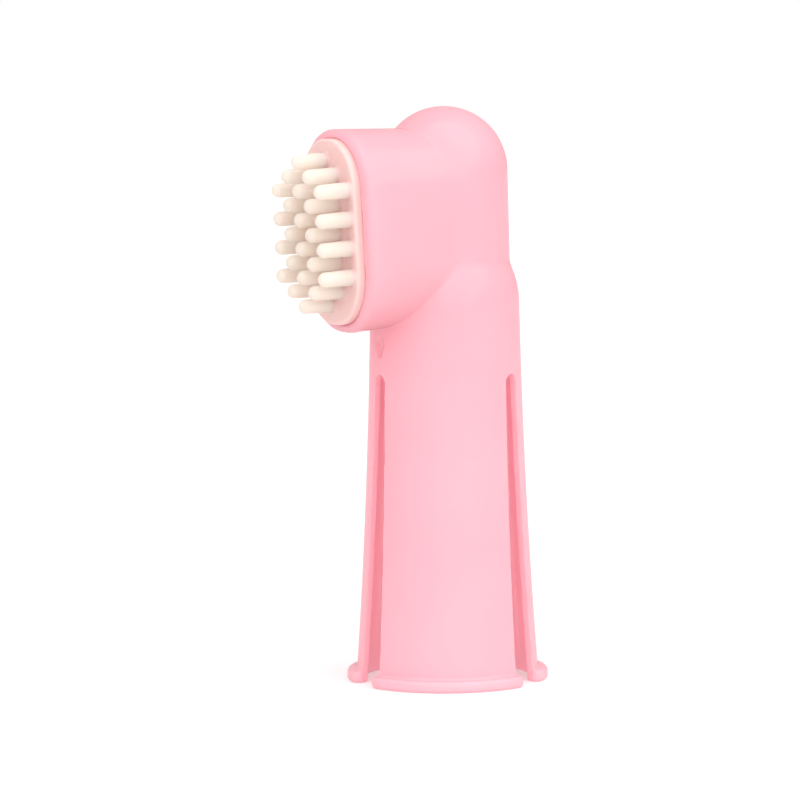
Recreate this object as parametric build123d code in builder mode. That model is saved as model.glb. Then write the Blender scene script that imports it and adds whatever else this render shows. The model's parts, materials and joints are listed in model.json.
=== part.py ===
"""Finger toothbrush for pets: a moulded finger sleeve with a side head, and a nubbed rubber pad.

The origin is the centre of the finger opening, in the plane of the petals' lips. +Z runs up the
sleeve towards its closed tip, and the head faces -Y. All sizes are in millimetres and degrees.
"""

from build123d import *
import math
import os

os.makedirs("parts", exist_ok=True)

# ---------------------------------------------------------------------------
# Driving dimensions
# ---------------------------------------------------------------------------

# Sleeve: a closed thimble round the fingertip, a rounded shoulder, and a skirt that flares out.
total_length = 60.0
wall = 0.85
fingertip_bore_radius = 5.9
fingertip_bore_length = 9.3
thimble_wall = 0.77
thimble_draft = 0.18
thimble_length = 16.4
shoulder_height = 3.9
shoulder_step = 0.95
mouth_flare = 1.8
flare_hollow = 0.28

# Skirt: slots cut it into petals, and a lip runs round each petal's free end.
petal_directions = {"petal_right": -30.0, "petal_back": 90.0, "petal_left": 210.0}
slot_top_width = 2.05
slot_mouth_width = 3.67
slot_below_head = 4.5
petal_root_gap = 0.2
lip_overhang = 0.95
lip_thickness = 1.2
lip_edge_round = 0.45
lip_fillet = 0.3
lip_end_reach = 0.35

# Head: an oval box on the front of the sleeve. Its rim leans out a little towards the tip.
head_drop = 12.7
head_lean = 2.7
head_width = 14.8
head_height = 21.0
head_end_flat = 1.2
head_neck_inset = 0.65
neck_bury = 0.5
head_rim_round = 0.8
socket_depth = 4.2
socket_floor = 0.8
socket_ledge = 0.9

# Pad: a rubber plug that fills the socket, and a platform that stands proud of the head's rim.
rim_side_width = 1.7
rim_end_width = 0.9
pad_end_flat = 0.8
pad_clearance = 0.05
pad_proud = 0.8
pad_edge_round = 0.15
plug_end_gap = 0.2
bead_depth = 2.4
bead_height = 0.8
bead_proud = 0.25

# Nubs: tapered rubber posts in staggered columns, each on a ball-shaped foot in a dimple.
nubs_per_column = {"a": 4, "b": 5, "c": 6, "d": 5, "e": 4}
nub_side_margin = 0.25
nub_end_margin = 1.375
nub_length = 3.9
nub_foot_radius = 0.85
nub_tip_radius = 0.76
nub_foot_clearance = 0.05

# ---------------------------------------------------------------------------
# Sizes and places worked out from the driving dimensions
# ---------------------------------------------------------------------------

dome_radius = fingertip_bore_radius + thimble_wall
thimble_base_radius = dome_radius + thimble_draft
shoulder_radius = thimble_base_radius + shoulder_step
mouth_radius = shoulder_radius + mouth_flare
dome_z = total_length - dome_radius
shoulder_z = total_length - thimble_length
skirt_top_z = shoulder_z - shoulder_height
bore_mouth_z = dome_z - fingertip_bore_length

head_z = total_length - head_drop
head_reach = shoulder_radius + socket_floor + socket_depth
slot_length = head_z - head_height / 2 - slot_below_head
petal_root_z = slot_length - slot_top_width / 2
slot_directions = [direction - 60.0 for direction in petal_directions.values()]

pad_width = head_width - 2 * rim_side_width
pad_height = head_height - 2 * rim_end_width
plug_depth = socket_depth - plug_end_gap
nub_column_reach = pad_width / 2 - nub_side_margin - nub_foot_radius
nub_row_reach = pad_height / 2 - nub_end_margin - nub_foot_radius
nub_column_pitch = 2 * nub_column_reach / (len(nubs_per_column) - 1)
nub_row_pitch = 2 * nub_row_reach / (max(nubs_per_column.values()) - 1)

lean = math.radians(head_lean)
head_normal = Vector(0, -math.cos(lean), -math.sin(lean))
rim_plane = Plane(origin=(0, -head_reach, head_z), x_dir=(1, 0, 0), z_dir=head_normal)
pad_plane = rim_plane.offset(pad_proud)
neck_plane = Plane(origin=(0, 0, head_z), x_dir=(1, 0, 0), z_dir=(0, -1, 0))


def flare_middle(inset):
    """Middle point of the skirt's flared arc, moved in from its outer face by inset."""
    return (shoulder_radius + mouth_radius) / 2 - flare_hollow - inset, skirt_top_z / 2


def solid_section():
    """Half section of the sleeve's outer shape, filled to its axis."""
    with BuildSketch(Plane.XZ) as section:
        with BuildLine():
            dome_side = (dome_radius, dome_z)
            flare_top = (shoulder_radius, skirt_top_z)
            ThreePointArc(
                (0, total_length),
                (dome_radius * math.sin(math.pi / 4), dome_z + dome_radius * math.cos(math.pi / 4)),
                dome_side,
            )
            Line(dome_side, (thimble_base_radius, shoulder_z))
            flare = ThreePointArc((mouth_radius, 0), flare_middle(0), flare_top)
            TangentArc(flare_top, (thimble_base_radius, shoulder_z), tangent=flare % 1)
            Polyline((mouth_radius, 0), (0, 0), (0, total_length))
        make_face()
    return section.sketch


def cavity_section():
    """Half section of the space for the finger: a round-ended bore above a flared mouth."""
    with BuildSketch(Plane.XZ) as section:
        with BuildLine():
            bore_top = (fingertip_bore_radius, dome_z)
            flare_top = (shoulder_radius - wall, skirt_top_z)
            bore_end_z = dome_z + fingertip_bore_radius
            diagonal = fingertip_bore_radius * math.sqrt(0.5)
            ThreePointArc((0, bore_end_z), (diagonal, dome_z + diagonal), bore_top)
            Polyline(bore_top, (fingertip_bore_radius, bore_mouth_z), flare_top)
            ThreePointArc(flare_top, flare_middle(wall), (mouth_radius - wall, 0))
            Polyline((mouth_radius - wall, 0), (0, 0), (0, bore_end_z))
        make_face()
    return section.sketch


def is_lip_foot(edge):
    """True for the ring where the lip's upper face meets the skirt."""
    level = math.isclose(edge.center().Z, lip_thickness)
    return level and edge.geom_type == GeomType.CIRCLE and edge.radius < mouth_radius


def is_lip_rim(edge):
    """True for the two rings round the lip's outer face."""
    return edge.geom_type == GeomType.CIRCLE and math.isclose(
        edge.radius, mouth_radius + lip_overhang
    )


def slot_section(direction):
    """One slot seen from outside: narrow and round at its top, wider down to the lip.

    The lip's ends reach round the petals' corners, so the slot is narrower between them.
    """
    outward = Vector(1, 0, 0).rotate(Axis.Z, direction)
    plane = Plane(origin=(0, 0, 0), x_dir=outward.rotate(Axis.Z, 90), z_dir=outward)
    with BuildSketch(plane) as section:
        with BuildLine():
            top_left = (-slot_top_width / 2, petal_root_z)
            top_right = (slot_top_width / 2, petal_root_z)
            side = slot_mouth_width / 2
            lip_side = side - lip_end_reach
            ThreePointArc(top_left, (0, slot_length), top_right)
            Polyline(top_right, (side, lip_thickness), (lip_side, lip_thickness), (lip_side, 0))
            Line((lip_side, 0), (-lip_side, 0))
            Polyline((-lip_side, 0), (-lip_side, lip_thickness), (-side, lip_thickness), top_left)
        make_face()
    return section.sketch


def oval(plane, width, height, end_flat):
    """A tall oval, the plan of the head, its socket and the pad, with short flats at its ends."""
    with BuildSketch(plane) as section:
        RectangleRounded(width, height, (width - end_flat) / 2)
    return section.sketch


def pad_oval(plane, margin):
    """The pad's plan, larger by margin all round."""
    return oval(plane, pad_width + 2 * margin, pad_height + 2 * margin, pad_end_flat)


# ---------------------------------------------------------------------------
# Finger sleeve: thimble, shoulder, head and the ring above the slots
# ---------------------------------------------------------------------------

with BuildPart() as finger_sleeve:
    # The head is a drafted oval box that runs back to the sleeve's axis.
    loft(
        [
            oval(
                neck_plane,
                2 * (thimble_base_radius - neck_bury),
                head_height - 2 * head_neck_inset,
                head_end_flat,
            ).face(),
            oval(rim_plane, head_width, head_height, head_end_flat).face(),
        ]
    )
    rim_edges = finger_sleeve.faces().sort_by(Axis.Y)[0].edges()
    fillet(rim_edges, head_rim_round)

    # The pad's socket, the groove for its bead, and the hollow core behind the socket's ledge.
    extrude(pad_oval(rim_plane, 0), amount=-socket_depth, mode=Mode.SUBTRACT)
    groove_plane = rim_plane.offset(-bead_depth - bead_height / 2 - pad_clearance)
    extrude(
        pad_oval(groove_plane, bead_proud),
        amount=bead_height + 2 * pad_clearance,
        mode=Mode.SUBTRACT,
    )
    extrude(
        pad_oval(rim_plane.offset(-socket_depth), -socket_ledge),
        amount=-head_reach,
        mode=Mode.SUBTRACT,
    )

    # The sleeve itself closes the back of the core, and the finger's space is cut last.
    revolve(solid_section(), axis=Axis.Z)
    revolve(cavity_section(), axis=Axis.Z, mode=Mode.SUBTRACT)
    for direction in slot_directions:
        extrude(slot_section(direction), amount=2 * mouth_radius, mode=Mode.SUBTRACT)
    split(bisect_by=Plane.XY.offset(petal_root_z), keep=Keep.TOP)

finger_sleeve.part.label = "finger_sleeve"
export_step(finger_sleeve.part, "parts/finger_sleeve.step")

# ---------------------------------------------------------------------------
# Petals: the skirt below the slots' tops, each hinged on a strip of its own wall
# ---------------------------------------------------------------------------

for petal_name, petal_direction in petal_directions.items():
    with BuildPart() as petal:
        revolve(solid_section(), axis=Axis.Z)
        split(bisect_by=Plane.XY.offset(petal_root_z - petal_root_gap), keep=Keep.BOTTOM)
        Cylinder(
            mouth_radius + lip_overhang,
            lip_thickness,
            align=(Align.CENTER, Align.CENTER, Align.MIN),
        )
        fillet(petal.edges().filter_by(is_lip_foot), lip_fillet)
        fillet(petal.edges().filter_by(is_lip_rim), lip_edge_round)
        revolve(cavity_section(), axis=Axis.Z, mode=Mode.SUBTRACT)
        for direction in slot_directions:
            extrude(slot_section(direction), amount=2 * mouth_radius, mode=Mode.SUBTRACT)
        outward = Vector(1, 0, 0).rotate(Axis.Z, petal_direction)
        two_others = petal.solids().sort_by_distance(outward * mouth_radius)[1:]
        add(two_others, mode=Mode.SUBTRACT)
    petal.part.label = petal_name
    export_step(petal.part, f"parts/{petal_name}.step")

# ---------------------------------------------------------------------------
# Bristle pad: plug, snap bead and platform, with a dimple for each nub's foot
# ---------------------------------------------------------------------------

nub_places = {
    f"nub_{column}{row + 1}": (
        (index - (len(nubs_per_column) - 1) / 2) * nub_column_pitch,
        ((count - 1) / 2 - row) * nub_row_pitch,
    )
    for index, (column, count) in enumerate(nubs_per_column.items())
    for row in range(count)
}

with BuildPart() as bristle_pad:
    extrude(pad_oval(rim_plane, -pad_clearance), amount=pad_proud)
    fillet(bristle_pad.faces().sort_by(Axis.Y)[0].edges(), pad_edge_round)
    extrude(pad_oval(rim_plane, -pad_clearance), amount=-plug_depth)
    bead_plane = rim_plane.offset(-bead_depth - bead_height / 2)
    extrude(pad_oval(bead_plane, bead_proud - pad_clearance), amount=bead_height)
    with Locations(pad_plane):
        with Locations(*nub_places.values()):
            Sphere(nub_foot_radius + nub_foot_clearance, mode=Mode.SUBTRACT)

bristle_pad.part.label = "bristle_pad"
export_step(bristle_pad.part, "parts/bristle_pad.step")

# ---------------------------------------------------------------------------
# Nubs: turned about their own axis, square to the pad's face
# ---------------------------------------------------------------------------

for nub_name, (across, up) in nub_places.items():
    foot = pad_plane.from_local_coords(Vector(across, up, 0))
    nub_plane = Plane(origin=foot, x_dir=(1, 0, 0), z_dir=Vector(1, 0, 0).cross(head_normal))
    with BuildPart() as nub:
        with BuildSketch(nub_plane):
            with BuildLine():
                foot_edge = (nub_foot_radius, 0)
                tip_edge = (nub_tip_radius, nub_length - nub_tip_radius)
                CenterArc((0, 0), nub_foot_radius, -90, 90)
                Line(foot_edge, tip_edge)
                CenterArc((0, nub_length - nub_tip_radius), nub_tip_radius, 0, 90)
                Line((0, nub_length), (0, -nub_foot_radius))
            make_face()
        revolve(axis=Axis(foot, head_normal))
    nub.part.label = nub_name
    export_step(nub.part, f"parts/{nub_name}.step")

# ---------------------------------------------------------------------------
# Where the hinges are: on each petal's outer face at its root, and at each nub's foot
# ---------------------------------------------------------------------------

flare_arc = ThreePointArc((mouth_radius, 0), flare_middle(0), (shoulder_radius, skirt_top_z))
root_line = Axis((0, petal_root_z), (1, 0))
petal_hinge_radius = flare_arc.intersect(root_line).vertex().X

for petal_name, petal_direction in petal_directions.items():
    outward = Vector(1, 0, 0).rotate(Axis.Z, petal_direction)
    print(petal_name, "hinge at", outward * petal_hinge_radius + Vector(0, 0, petal_root_z))
for nub_name, (across, up) in nub_places.items():
    print(nub_name, "hinge at", pad_plane.from_local_coords(Vector(across, up, 0)))
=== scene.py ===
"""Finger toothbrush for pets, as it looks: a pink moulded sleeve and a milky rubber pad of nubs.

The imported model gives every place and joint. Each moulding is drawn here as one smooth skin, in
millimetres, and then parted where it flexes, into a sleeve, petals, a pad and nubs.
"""

import json
import math

import bpy
import numpy as np
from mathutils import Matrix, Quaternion, Vector


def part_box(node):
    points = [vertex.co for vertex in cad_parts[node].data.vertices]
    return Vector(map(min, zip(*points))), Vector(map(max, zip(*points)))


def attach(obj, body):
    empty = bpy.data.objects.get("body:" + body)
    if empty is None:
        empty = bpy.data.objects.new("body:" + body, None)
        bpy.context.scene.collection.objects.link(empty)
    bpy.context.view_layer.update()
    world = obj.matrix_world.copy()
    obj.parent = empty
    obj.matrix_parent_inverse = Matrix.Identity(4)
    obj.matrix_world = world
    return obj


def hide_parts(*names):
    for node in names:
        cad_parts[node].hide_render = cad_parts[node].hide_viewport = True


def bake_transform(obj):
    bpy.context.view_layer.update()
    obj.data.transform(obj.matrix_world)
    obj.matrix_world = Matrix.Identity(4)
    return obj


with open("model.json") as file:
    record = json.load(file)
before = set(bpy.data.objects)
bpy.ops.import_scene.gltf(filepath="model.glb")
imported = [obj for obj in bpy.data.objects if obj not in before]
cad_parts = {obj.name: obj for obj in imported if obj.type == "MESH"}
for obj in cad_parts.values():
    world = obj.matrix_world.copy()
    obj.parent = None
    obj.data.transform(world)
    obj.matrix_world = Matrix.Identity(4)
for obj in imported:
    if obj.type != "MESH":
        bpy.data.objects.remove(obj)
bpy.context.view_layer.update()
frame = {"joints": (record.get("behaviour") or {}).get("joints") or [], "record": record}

joints = {joint["child"]: joint for joint in frame["joints"]}
mounts = {mount["name"]: mount for mount in frame["record"]["mounts"]}
MM = 0.001

# ---------------------------------------------------------------------------
# Camera
# A long lens at the height of the closed tip, a sixth of a turn round from the head's face, so that
# the head shows in profile and one petal faces the lens. It is held half a degree off level.
# ---------------------------------------------------------------------------

camera_azimuth = math.radians(60)
camera_roll = math.radians(-0.52)
camera_distance = 0.380
camera_height = 0.063
aim_height = 0.02937
aim_left = 0.00475
toward_camera = Vector((math.sin(camera_azimuth), -math.cos(camera_azimuth), 0))
camera_right = Vector((math.cos(camera_azimuth), math.sin(camera_azimuth), 0))

camera_data = bpy.data.cameras.new("camera")
camera_data.lens = 164.0
camera_data.sensor_width = 36
camera_data.clip_start = 0.01
camera = bpy.data.objects.new("camera", camera_data)
camera.location = toward_camera * camera_distance + Vector((0, 0, camera_height))
aim = camera_right * -aim_left + Vector((0, 0, aim_height))
level = (aim - camera.location).to_track_quat("-Z", "Y")
camera.rotation_euler = (level @ Quaternion((0, 0, 1), camera_roll)).to_euler()
bpy.context.collection.objects.link(camera)
bpy.context.scene.camera = camera

# ---------------------------------------------------------------------------
# Studio
# A light tent: white cloth all round that shows white and gives a weak even light, a white acrylic
# floor with a little light under it, and one very large soft box above the lens, to its right.
# ---------------------------------------------------------------------------


def linear(hex_colour):
    """An sRGB colour, written as six hex digits, as linear red, green, blue and full alpha."""
    channels = [int(hex_colour[i : i + 2], 16) / 255 for i in (0, 2, 4)]
    return [c / 12.92 if c <= 0.04045 else ((c + 0.055) / 1.055) ** 2.4 for c in channels] + [1.0]


def add_node(material, kind, links=(), **settings):
    """Adds a node. settings name its inputs or its own properties; links are (socket, input)."""
    node = material.node_tree.nodes.new(kind)
    for name, value in settings.items():
        socket = name.replace("_", " ")
        if socket in node.inputs:
            node.inputs[socket].default_value = value
        else:
            setattr(node, name, value)
    for source, name in links:
        material.node_tree.links.new(source, node.inputs[name])
    return node


def new_material(name):
    """An empty node material and its output node."""
    material = bpy.data.materials.new(name)
    material.use_nodes = True
    material.node_tree.nodes.clear()
    return material, add_node(material, "ShaderNodeOutputMaterial")


bpy.context.scene.view_settings.view_transform = "Standard"

sky = bpy.data.worlds.new("light_tent")
sky.use_nodes = True
seen = add_node(sky, "ShaderNodeLightPath")
cloth_light = add_node(
    sky, "ShaderNodeMapRange", [(seen.outputs["Is Camera Ray"], "Value")], To_Min=0.76, To_Max=1.0
)
cloth = sky.node_tree.nodes["Background"]
cloth.inputs["Color"].default_value = (1, 1, 1, 1)
sky.node_tree.links.new(cloth_light.outputs["Result"], cloth.inputs["Strength"])
bpy.context.scene.world = sky

floor_size = 6.0
floor_mesh = bpy.data.meshes.new("floor")
half = floor_size / 2
floor_mesh.from_pydata(
    [(-half, -half, 0), (half, -half, 0), (half, half, 0), (-half, half, 0)], [], [(0, 1, 2, 3)]
)
floor = bpy.data.objects.new("floor", floor_mesh)
bpy.context.collection.objects.link(floor)

acrylic, acrylic_output = new_material("lit_white_acrylic")
acrylic_shader = add_node(
    acrylic,
    "ShaderNodeBsdfPrincipled",
    Base_Color=linear("CBCBCB"),
    Roughness=0.9,
    Emission_Color=(1, 1, 1, 1),
    Emission_Strength=0.32,
)
acrylic.node_tree.links.new(acrylic_shader.outputs["BSDF"], acrylic_output.inputs["Surface"])
floor_mesh.materials.append(acrylic)

soft_box_width = math.radians(104)
soft_box_turn = camera_azimuth + math.radians(18)
soft_box_elevation = math.radians(49)
soft_box = bpy.data.lights.new("soft_box", "SUN")
soft_box.angle = soft_box_width
soft_box.energy = 2.9
lamp = bpy.data.objects.new("soft_box", soft_box)
lamp.rotation_euler = (math.pi / 2 - soft_box_elevation, 0, soft_box_turn)
bpy.context.collection.objects.link(lamp)

# ---------------------------------------------------------------------------
# Pink sleeve and its petals
# One injection moulding in soft polypropylene: a closed thimble, a flared skirt cut by slots into
# petals with lips, and an oval hollow head. Every edge is rounded by the mould.
# ---------------------------------------------------------------------------

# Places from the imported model, in millimetres.
tip_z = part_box("finger_sleeve")[1].z / MM
petal_root_z = joints["petal_right"]["pos_m"][2] / MM
bore_radius = mounts["fingertip_bore"]["dims"]["r_mm"]
foot_c1 = np.array(joints["nub_c1"]["pos_m"]) / MM
foot_c6 = np.array(joints["nub_c6"]["pos_m"]) / MM
head_up = (foot_c1 - foot_c6) / np.linalg.norm(foot_c1 - foot_c6)
head_out = np.cross((1, 0, 0), head_up)
pad_face = (foot_c1 + foot_c6) / 2

# The mould's own sizes, in millimetres.
wall = 0.85
thimble_wall = 0.77
thimble_draft = 0.18
thimble_length = 16.4
bore_length = mounts["fingertip_bore"]["dims"]["length_mm"]
shoulder_height = 3.9
shoulder_step = 0.95
shoulder_crease = 0.3
mouth_flare = 1.8
flare_hollow = 0.28
slot_top_width = 2.05
slot_mouth_width = 3.67
slot_directions = [math.radians(angle) for angle in (-90, 30, 150)]
slot_start_radius = 1.0
slot_edge_round = 0.2
lip_overhang = 0.95
lip_thickness = 1.2
lip_edge_round = 0.45
lip_fillet = 0.3
lip_end_round = 1.2
lip_end_reach = 0.35
head_width = 14.8
head_height = 21.0
head_reach = 12.8
head_end_flat = 1.2
head_neck_inset = 0.65
head_rim_round = 0.8
head_fillet = 0.25
neck_bury = 0.5
pad_proud = 0.8
pad_width = 11.4
pad_height = 19.2
pad_end_flat = 0.8
pad_gap = 0.04
socket_depth = 4.2
socket_edge_round = 0.1
mark_radius = 0.75
mark_point_radius = 0.3
mark_z = 35.5
mark_length = 0.95
mark_depth = 0.35
mark_slope = 0.6

dome_radius = bore_radius + thimble_wall
dome_z = tip_z - dome_radius
shoulder_z = tip_z - thimble_length
skirt_top_z = shoulder_z - shoulder_height
thimble_base_radius = dome_radius + thimble_draft
shoulder_radius = thimble_base_radius + shoulder_step
mouth_radius = shoulder_radius + mouth_flare
slot_top_z = petal_root_z + slot_top_width / 2
rim_centre = pad_face - head_out * pad_proud

# Circle that rounds the shoulder: it leaves the flare without a corner and ends at the thimble.
# The flare is a parabola that sags inwards by flare_hollow halfway down.
flare_slope = (mouth_flare - 4 * flare_hollow) / skirt_top_z
shoulder_inward = np.array((-1, -flare_slope)) / math.hypot(1, flare_slope)
shoulder_chord = np.array((-shoulder_step, shoulder_height))
shoulder_arc_radius = shoulder_chord @ shoulder_chord / (2 * shoulder_chord @ shoulder_inward)
shoulder_centre = np.array((shoulder_radius, skirt_top_z)) + shoulder_inward * shoulder_arc_radius


def round_join(a, b, radius):
    """Distance to two joined shapes, with a fillet of that radius in the corner between them."""
    corner = np.hypot(np.maximum(radius - a, 0), np.maximum(radius - b, 0))
    return np.maximum(radius, np.minimum(a, b)) - corner


def round_common(a, b, radius):
    """Distance to what two shapes have in common, with its edge rounded to that radius."""
    edge = np.hypot(np.maximum(radius + a, 0), np.maximum(radius + b, 0))
    return np.minimum(-radius, np.maximum(a, b)) + edge


def oval_distance(across, up, half_width, half_height, corner_radius):
    """Distance in a plane to a rectangle with round corners."""
    x = np.abs(across) - half_width + corner_radius
    y = np.abs(up) - half_height + corner_radius
    outside = np.hypot(np.maximum(x, 0), np.maximum(y, 0))
    return outside + np.minimum(np.maximum(x, y), 0) - corner_radius


def skirt_radius(z):
    """Outer radius of the flared skirt, with the rounded shoulder above it."""
    share = (skirt_top_z - z) / skirt_top_z
    flare = shoulder_radius + mouth_flare * share - 4 * flare_hollow * share * (1 - share)
    above = np.clip(shoulder_arc_radius**2 - (z - shoulder_centre[1]) ** 2, 0, None)
    return np.where(z < skirt_top_z, flare, shoulder_centre[0] + np.sqrt(above))


def sleeve_radius(z):
    """Outer radius of the sleeve below its dome: the larger of skirt and thimble, softly joined."""
    thimble = dome_radius + thimble_draft * (dome_z - z) / (dome_z - shoulder_z)
    step = skirt_radius(z) - thimble
    share = np.clip(0.5 + step / (2 * shoulder_crease), 0, 1)
    return thimble + step * share + shoulder_crease * share * (1 - share)


def cavity_distance(r, z):
    """Distance to the space for the finger: a round-ended bore above a flared mouth."""
    skirt = skirt_radius(np.minimum(z, skirt_top_z)) - wall
    bore_mouth_z = dome_z - bore_length
    share = np.clip((z - skirt_top_z) / (bore_mouth_z - skirt_top_z), 0, 1)
    radius = skirt * (1 - share) + bore_radius * share
    return np.where(z > dome_z, np.hypot(r, z - dome_z) - bore_radius, r - radius)


def slot_distance(x, y, z, direction):
    """Distance to one slot, which starts near the axis and runs out in one direction.

    It has straight sides that part towards the mouth, and a round top.
    """
    outward = x * math.cos(direction) + y * math.sin(direction)
    across = y * math.cos(direction) - x * math.sin(direction)
    widening = (slot_mouth_width - slot_top_width) / 2 * (petal_root_z - z) / petal_root_z
    side = np.abs(across) - slot_top_width / 2 - widening
    top = np.hypot(across, z - petal_root_z) - slot_top_width / 2
    return np.maximum(np.where(z < petal_root_z, side, top), slot_start_radius - outward)


def head_coordinates(x, y, z):
    """Across the head, up it, and out of its rim plane."""
    dy, dz = y - rim_centre[1], z - rim_centre[2]
    return x, dy * head_up[1] + dz * head_up[2], dy * head_out[1] + dz * head_out[2]


def head_distance(x, y, z):
    """Distance to the head: an oval box that narrows a little towards the sleeve."""
    across, up, out = head_coordinates(x, y, z)
    depth = -out / head_reach
    neck_half_width = thimble_base_radius - neck_bury
    half_width = head_width / 2 - (head_width / 2 - neck_half_width) * depth
    half_height = head_height / 2 - head_neck_inset * depth
    side = oval_distance(across, up, half_width, half_height, half_width - head_end_flat / 2)
    return np.maximum(round_common(side, out, head_rim_round), -out - head_reach)


def lip_distance(r, z, to_slot):
    """Distance to the lip's ring, whose ends are rounded in plan where the slots cut it."""
    from_end = to_slot + lip_end_reach
    end = np.clip(1 - from_end / lip_end_round, 0, 1)
    outer = mouth_radius + lip_overhang * np.sqrt(1 - end**2)
    inner = mouth_radius - wall / 2
    across = np.abs(r - (outer + inner) / 2) - (outer - inner) / 2
    up = np.abs(z - lip_thickness / 2) - lip_thickness / 2
    ring = round_common(across, up, lip_edge_round)
    return round_common(ring, -from_end, lip_edge_round)


def mark_recess(x, y, z):
    """Depth of the shallow drop-shaped recess between the head and the front slot."""
    share = np.clip((mark_z - z) / mark_length, 0, 1)
    radius = mark_radius + (mark_point_radius - mark_radius) * share
    drop = np.hypot(x, z - mark_z + share * mark_length) - radius
    fall = np.clip(0.5 - drop / mark_slope, 0, 1)
    return mark_depth * fall**2 * (3 - 2 * fall) * (y < 0)


def pink_distance(x, y, z):
    """Distance to the whole pink moulding, negative inside the plastic."""
    r = np.hypot(x, y)
    below = r - sleeve_radius(np.minimum(z, dome_z)) + mark_recess(x, y, z)
    sleeve = np.where(z > dome_z, np.hypot(r, z - dome_z) - dome_radius, below)
    slots = [slot_distance(x, y, z, direction) for direction in slot_directions]
    nearest_slot = np.minimum(np.minimum(slots[0], slots[1]), slots[2])
    shape = round_join(sleeve, head_distance(x, y, z), head_fillet)
    shape = round_common(shape, -z, slot_edge_round)
    shape = round_common(shape, -nearest_slot, slot_edge_round)
    shape = round_join(shape, lip_distance(r, z, nearest_slot), lip_fillet)
    shape = round_common(shape, -cavity_distance(r, z), slot_edge_round)
    across, up, out = head_coordinates(x, y, z)
    half_width, half_height = pad_width / 2, pad_height / 2
    socket = oval_distance(across, up, half_width, half_height, half_width - pad_end_flat / 2)
    return round_common(shape, -np.maximum(socket, -out - socket_depth), socket_edge_round)


def skin(distance, low, high, cell):
    """Points, outward normals and four-sided faces of the surface where distance is zero.

    One point goes in each cell of a grid that the surface crosses, and is then moved onto it by
    following the slope of distance. A move is at most half a cell.
    """
    counts = np.ceil((np.array(high) - low) / cell).astype(int) + 1
    axes = [low[i] + cell * np.arange(counts[i], dtype=np.float32) for i in range(3)]
    grid = distance(*np.meshgrid(*axes, indexing="ij"))
    inside = grid < 0
    corners = [(i, j, k) for i in (0, 1) for j in (0, 1) for k in (0, 1)]

    def shifted(array, corner):
        i, j, k = corner
        nx, ny, nz = array.shape
        return array[i : nx - 1 + i, j : ny - 1 + j, k : nz - 1 + k]

    filled = sum(shifted(inside, corner).astype(np.int8) for corner in corners)
    cells = np.argwhere((filled > 0) & (filled < 8))
    number = np.full(filled.shape, -1, np.int32)
    number[tuple(cells.T)] = np.arange(len(cells))

    total, hits = np.zeros((len(cells), 3)), np.zeros(len(cells))
    for a in corners:
        for b in corners:
            if sum(abs(p - q) for p, q in zip(a, b)) == 1 and a < b:
                value_a = grid[tuple((cells + a).T)]
                value_b = grid[tuple((cells + b).T)]
                crossed = (value_a < 0) != (value_b < 0)
                share = np.where(crossed, value_a / np.where(crossed, value_a - value_b, 1), 0)
                point = np.array(a) + share[:, None] * (np.array(b) - a)
                total += point * crossed[:, None]
                hits += crossed
    points = low + cell * (cells + total / hits[:, None])

    step = cell / 10
    longest_move = cell / 2
    least_steepness = 0.25
    tiny = 1e-9
    rounds = 4
    for _ in range(rounds):
        slope = np.empty_like(points)
        for i in range(3):
            ahead, behind = points.copy(), points.copy()
            ahead[:, i] += step
            behind[:, i] -= step
            slope[:, i] = (distance(*ahead.T) - distance(*behind.T)) / (2 * step)
        steepness = np.maximum((slope**2).sum(1), least_steepness)
        move = slope * (distance(*points.T) / steepness)[:, None]
        length = np.maximum(np.linalg.norm(move, axis=1), tiny)
        points -= move * np.minimum(1, longest_move / length)[:, None]
    normals = slope / np.maximum(np.linalg.norm(slope, axis=1), tiny)[:, None]

    faces = []
    unit = np.eye(3, dtype=int)
    for axis in range(3):
        side_a, side_b = unit[(axis + 1) % 3], unit[(axis + 2) % 3]
        start = inside[tuple(slice(None, -1) if i == axis else slice(1, -1) for i in range(3))]
        stop = inside[tuple(slice(1, None) if i == axis else slice(1, -1) for i in range(3))]
        for leaving in (True, False):
            at = np.argwhere((start != stop) & (start == leaving)) + side_a + side_b
            ring = [at, at - side_a, at - side_a - side_b, at - side_b]
            quad = np.stack([number[tuple(c.T)] for c in ring], axis=1)
            faces.append(quad if leaving else quad[:, ::-1])
    return points, normals, np.concatenate(faces)


def piece_from(name, points, normals, faces, material):
    """A smooth-shaded object from some of a skin's faces, with the skin's own normals.

    It keeps where each point rests, in millimetres, so that patterns don't slide when it bends.
    """
    used, compact = np.unique(faces, return_inverse=True)
    mesh = bpy.data.meshes.new(name)
    mesh.from_pydata((points[used] * MM).tolist(), [], compact.reshape(faces.shape).tolist())
    mesh.polygons.foreach_set("use_smooth", np.ones(len(mesh.polygons), bool))
    mesh.normals_split_custom_set_from_vertices(normals[used].tolist())
    rest_place = mesh.attributes.new("rest_place", "FLOAT_VECTOR", "POINT")
    rest_place.data.foreach_set("vector", points[used].ravel())
    mesh.materials.append(material)
    piece = bpy.data.objects.new(name, mesh)
    bpy.context.collection.objects.link(piece)
    return piece


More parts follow.
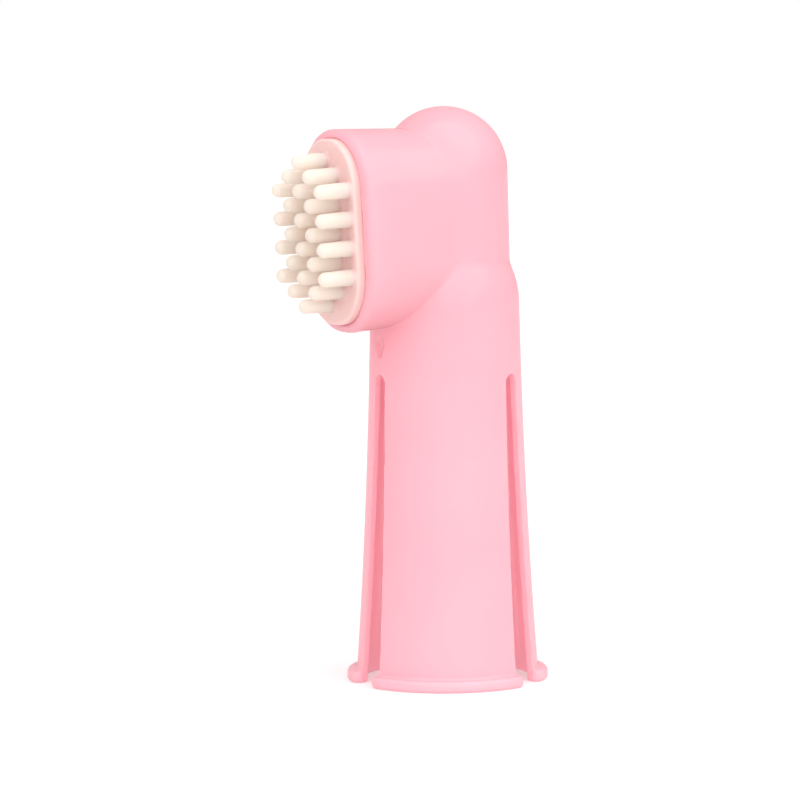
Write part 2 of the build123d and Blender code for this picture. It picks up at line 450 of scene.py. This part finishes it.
# Moulded polypropylene: an even gloss off a polished mould, faintly orange-peeled. The thin wall
# lets light through, so that it glows a deeper pink where it is lit from behind.
polypropylene, polypropylene_output = new_material("pink_moulded_polypropylene")
place = add_node(polypropylene, "ShaderNodeAttribute", attribute_name="rest_place")
cloud_size = 9.0
clouds = add_node(
    polypropylene,
    "ShaderNodeTexNoise",
    [(place.outputs["Vector"], "Vector")],
    Scale=1 / cloud_size,
    Detail=2.0,
)
tint = add_node(polypropylene, "ShaderNodeValToRGB", [(clouds.outputs["Fac"], "Fac")])
tint.color_ramp.elements[0].color = linear("FDC9D3")
tint.color_ramp.elements[1].color = linear("FFCED8")
tint.color_ramp.elements[0].position = 0.3
tint.color_ramp.elements[1].position = 0.7
orange_peel_size = 0.9
peel = add_node(
    polypropylene,
    "ShaderNodeTexNoise",
    [(place.outputs["Vector"], "Vector")],
    Scale=1 / orange_peel_size,
    Detail=3.0,
)
peel_bump = add_node(
    polypropylene,
    "ShaderNodeBump",
    [(peel.outputs["Fac"], "Height")],
    Strength=0.1,
    Distance=0.03 * MM,
)
gloss = add_node(
    polypropylene,
    "ShaderNodeMapRange",
    [(clouds.outputs["Fac"], "Value")],
    To_Min=0.07,
    To_Max=0.12,
)
polypropylene_shader = add_node(
    polypropylene,
    "ShaderNodeBsdfPrincipled",
    [
        (tint.outputs["Color"], "Base Color"),
        (gloss.outputs["Result"], "Roughness"),
        (peel_bump.outputs["Normal"], "Normal"),
    ],
    IOR=1.49,
    Subsurface_Weight=0.2,
    Subsurface_Radius=(1.0, 0.45, 0.5),
    Subsurface_Scale=0.6 * MM,
)
glow = add_node(polypropylene, "ShaderNodeBsdfTranslucent", Color=linear("FFD1D8"))
share_through = 0.48
plastic = add_node(
    polypropylene,
    "ShaderNodeMixShader",
    [(polypropylene_shader.outputs["BSDF"], 1), (glow.outputs["BSDF"], 2)],
    Fac=share_through,
)
polypropylene.node_tree.links.new(plastic.outputs["Shader"], polypropylene_output.inputs["Surface"])

# The grid's box reaches past the moulding by the margin, and further in front of the head, which
# leans out.
margin = 0.6
head_lean = 1.0
pink_low = np.array([-mouth_radius - lip_overhang, -head_reach - head_lean, 0]) - margin
pink_high = np.array([mouth_radius + lip_overhang, mouth_radius + lip_overhang, tip_z]) + margin
pink_cell = 0.25
points, normals, faces = skin(pink_distance, pink_low, pink_high, pink_cell)

# The skin is parted just above the slots, and below that between the slots.
centres = points[faces].mean(1)
parting_z = slot_top_z + 2 * pink_cell
above_slots = centres[:, 2] > parting_z
sleeve = piece_from("moulded_sleeve", points, normals, faces[above_slots], polypropylene)
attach(sleeve, "sleeve")
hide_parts("finger_sleeve")

petals = [name for name in joints if name.startswith("petal_")]
hinge_places = np.array([joints[petal]["pos_m"][:2] for petal in petals])
nearest_petal = (centres[:, :2] @ hinge_places.T).argmax(1)
for number, petal in enumerate(petals):
    mine = ~above_slots & (nearest_petal == number)
    moulded_petal = piece_from(f"moulded_{petal}", points, normals, faces[mine], polypropylene)
    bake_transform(moulded_petal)
    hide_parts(petal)

# ---------------------------------------------------------------------------
# White pad and its nubs
# One moulding in thermoplastic rubber: a plug pushed into the head's socket, a platform a little
# proud of the rim, and tapered round-ended nubs that grow out of it with small fillets.
# ---------------------------------------------------------------------------

nub_length = 3.9
nub_foot_radius = 0.85
nub_tip_radius = 0.76
nub_fillet = 0.2
pad_edge_round = 0.3
plug_depth = 4.0
nub_names = [name for name in joints if name.startswith("nub_")]
nub_feet = [np.array(joints[name]["pos_m"]) / MM for name in nub_names]


def pad_distance(across, up, out):
    """Distance to the pad with its nubs. out is measured from the platform's face."""
    half_width, half_height = pad_width / 2 - pad_gap, pad_height / 2 - pad_gap
    side = oval_distance(across, up, half_width, half_height, half_width - pad_end_flat / 2)
    shape = round_common(side, out, pad_edge_round)
    shape = np.maximum(shape, -out - plug_depth - pad_proud)
    nubs = np.full(np.shape(shape), np.inf)
    taper = (nub_foot_radius - nub_tip_radius) / (nub_length - nub_tip_radius)
    height = np.clip(out, 0, nub_length - nub_tip_radius)
    for foot in nub_feet:
        aside = foot - pad_face
        from_axis = np.hypot(across - aside[0], up - aside @ head_up)
        nub = np.hypot(from_axis, out - height) - (nub_foot_radius - taper * height)
        nubs = np.minimum(nubs, nub)
    return round_join(shape, nubs, nub_fillet)


# Thermoplastic rubber: milky and slightly tacky, so its gloss is broad, and light sinks in. Its
# colour is darker and pinker at the pad's face and lighter up the nubs: partly the pink head showing
# faintly through, partly painted shade between the nubs. Light also goes through a nub, but not
# through the pad, which has the head behind it.
rubber, rubber_output = new_material("milky_thermoplastic_rubber")
rubber_place = add_node(rubber, "ShaderNodeAttribute", attribute_name="rest_place")
rise = add_node(rubber, "ShaderNodeAttribute", attribute_name="rise")
pink_and_painted_shade_fade_by = 0.7
rise_share = add_node(
    rubber,
    "ShaderNodeMapRange",
    [(rise.outputs["Fac"], "Value")],
    From_Min=0.0,
    From_Max=pink_and_painted_shade_fade_by,
)
# Painted shade: the pad's face and the feet of the nubs are coloured darker and pinker than the
# tips, partly for the pink head behind the rubber and partly for shade between the nubs.
rubber_tint_and_painted_shade = add_node(rubber, "ShaderNodeValToRGB", [(rise_share.outputs["Result"], "Fac")])
rubber_tint_and_painted_shade.color_ramp.elements[0].color = linear("E7C0BC")
rubber_tint_and_painted_shade.color_ramp.elements[1].color = linear("F7EFE7")
rubber_cloud_size = 3.0
rubber_clouds = add_node(
    rubber,
    "ShaderNodeTexNoise",
    [(rubber_place.outputs["Vector"], "Vector")],
    Scale=1 / rubber_cloud_size,
    Detail=2.0,
)
rubber_gloss = add_node(
    rubber,
    "ShaderNodeMapRange",
    [(rubber_clouds.outputs["Fac"], "Value")],
    To_Min=0.38,
    To_Max=0.5,
)
grain_size = 0.35
grain = add_node(
    rubber,
    "ShaderNodeTexNoise",
    [(rubber_place.outputs["Vector"], "Vector")],
    Scale=1 / grain_size,
    Detail=2.0,
)
grain_bump = add_node(
    rubber,
    "ShaderNodeBump",
    [(grain.outputs["Fac"], "Height")],
    Strength=0.15,
    Distance=0.02 * MM,
)
rubber_shader = add_node(
    rubber,
    "ShaderNodeBsdfPrincipled",
    [
        (rubber_tint_and_painted_shade.outputs["Color"], "Base Color"),
        (rubber_gloss.outputs["Result"], "Roughness"),
        (grain_bump.outputs["Normal"], "Normal"),
    ],
    IOR=1.47,
    Subsurface_Weight=0.5,
    Subsurface_Radius=(1.0, 0.7, 0.5),
    Subsurface_Scale=0.7 * MM,
)
rubber_glow = add_node(
    rubber, "ShaderNodeBsdfTranslucent", [(rubber_tint_and_painted_shade.outputs["Color"], "Color")]
)
nub_share_through = 0.52
share_through_here = add_node(
    rubber,
    "ShaderNodeMapRange",
    [(rise_share.outputs["Result"], "Value")],
    To_Min=0.0,
    To_Max=nub_share_through,
)
soft_rubber = add_node(
    rubber,
    "ShaderNodeMixShader",
    [
        (share_through_here.outputs["Result"], "Fac"),
        (rubber_shader.outputs["BSDF"], 1),
        (rubber_glow.outputs["BSDF"], 2),
    ],
)
rubber.node_tree.links.new(soft_rubber.outputs["Shader"], rubber_output.inputs["Surface"])

rubber_cell = 0.14
pad_low = np.array([-pad_width / 2, -pad_height / 2, -plug_depth - pad_proud]) - margin
pad_high = np.array([pad_width / 2, pad_height / 2, nub_length]) + margin
flat_points, flat_normals, pad_faces = skin(pad_distance, pad_low, pad_high, rubber_cell)
to_head = np.array([(1, 0, 0), head_up, head_out])
pad_points = flat_points @ to_head + pad_face
pad_normals = flat_normals @ to_head


def rubber_piece(name, faces):
    """A piece of the rubber moulding, which keeps how far each point rises above the pad's face."""
    piece = piece_from(name, pad_points, pad_normals, faces, rubber)
    rise = piece.data.attributes.new("rise", "FLOAT", "POINT")
    rise.data.foreach_set("value", flat_points[np.unique(faces), 2])
    return piece


# The skin is parted round the foot of each nub, at the top of its fillet.
pad_centres = flat_points[pad_faces].mean(1)
in_nub = pad_centres[:, 2] > nub_fillet
pad = rubber_piece("rubber_pad", pad_faces[~in_nub])
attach(pad, "sleeve")
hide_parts("bristle_pad")

for name, foot in zip(nub_names, nub_feet):
    aside = foot - pad_face
    from_axis = np.hypot(pad_centres[:, 0] - aside[0], pad_centres[:, 1] - aside @ head_up)
    mine = in_nub & (from_axis < nub_foot_radius + nub_fillet)
    nub = rubber_piece(f"rubber_{name}", pad_faces[mine])
    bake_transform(nub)
    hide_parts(name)

# ---------------------------------------------------------------------------
# Last update
# The scene is updated once more at the end.
# ---------------------------------------------------------------------------

bpy.context.view_layer.update()
